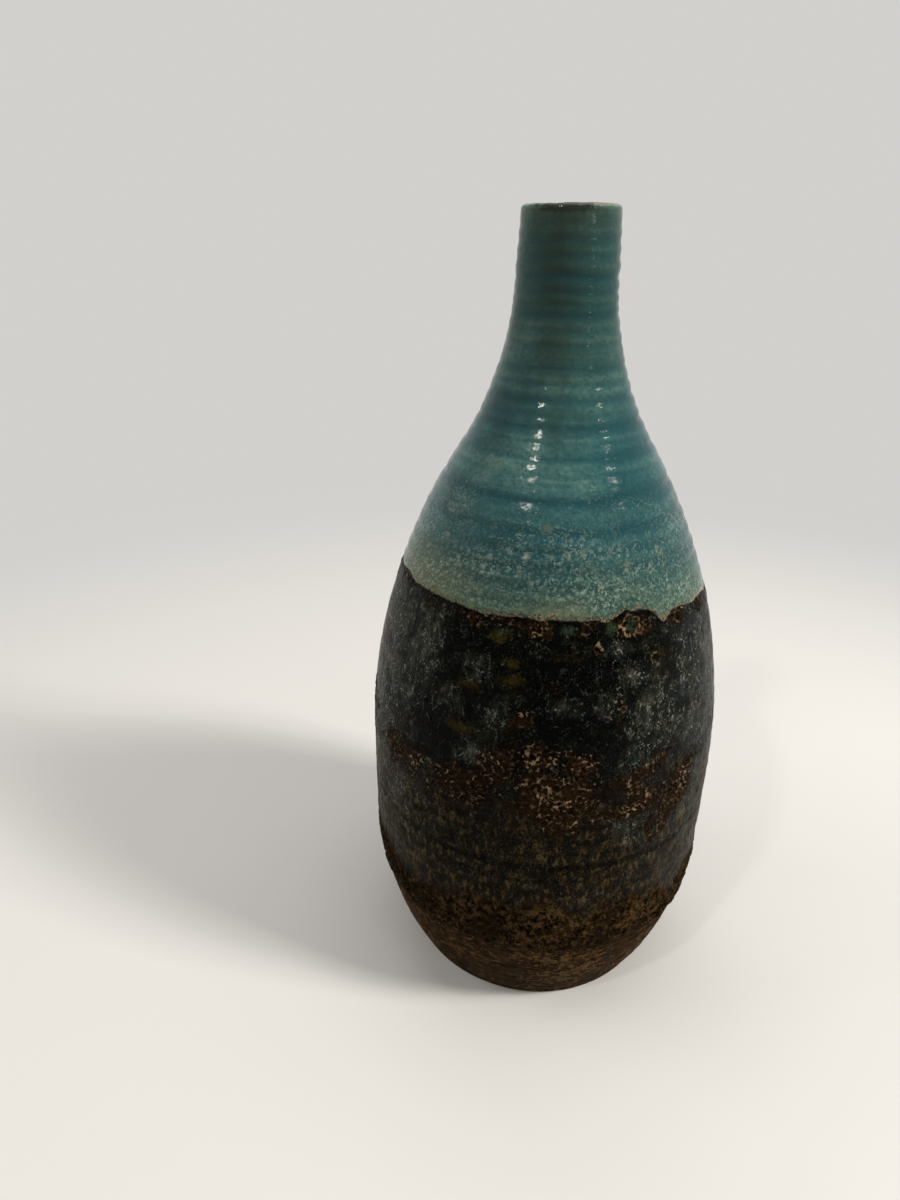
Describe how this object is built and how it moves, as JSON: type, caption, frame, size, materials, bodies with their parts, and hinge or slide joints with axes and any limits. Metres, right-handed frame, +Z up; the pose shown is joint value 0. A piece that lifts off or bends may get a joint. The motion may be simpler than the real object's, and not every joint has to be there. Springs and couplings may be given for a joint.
{
  "type": "bottle vase",
  "caption": "Wheel-thrown stoneware bottle vase: egg-shaped belly, long tapering neck, small rounded lip, turquoise glaze over dark crater glaze.",
  "frame": {"origin": "on the turning axis, in the plane that the foot ring rests on", "axes": "+Z up along the turning axis; the side with the main crater field faces -Y, the viewer"},
  "size_m": [0.1654, 0.1654, 0.35],
  "materials": {
    "stoneware_body": "bare fired stoneware, matte, with fine turning rings",
    "rust_crust": "rough crusty rust-brown glaze, low gloss",
    "dark_glaze": "glossy near-black olive glaze with crater patches",
    "turquoise_glaze": "high-gloss turquoise glaze, pooled darker in the rings"
  },
  "bodies": {
    "root": {"stoneware_body": "stoneware_body", "rust_crust": "rust_crust", "dark_glaze": "dark_glaze", "turquoise_glaze": "turquoise_glaze"}
  },
  "joints": []
}
